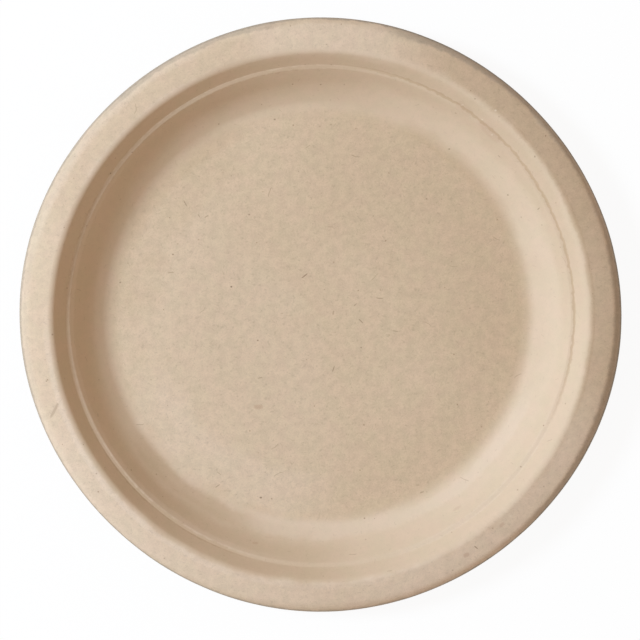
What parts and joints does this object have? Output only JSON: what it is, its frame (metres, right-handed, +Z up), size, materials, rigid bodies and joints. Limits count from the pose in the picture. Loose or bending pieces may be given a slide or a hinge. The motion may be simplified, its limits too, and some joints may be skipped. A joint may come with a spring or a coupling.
{
  "type": "moulded fibre paper plate",
  "caption": "Round disposable plate pressed from unbleached plant fibre, with a gently raised floor, a sloping side with a small stacking ledge, and a broad rim that turns down into a lip.",
  "frame": {"origin": "centre of the plate, on the plane of the foot ring that it rests on", "axes": "+Z up along the axis of revolution, towards the food; X and Y lie in the resting plane"},
  "size_m": [0.228, 0.228, 0.018],
  "materials": {
    "fibre": "matte unbleached moulded fibre with fine grain and scattered darker fibres"
  },
  "bodies": {
    "root": {"plate": "fibre"}
  },
  "joints": []
}
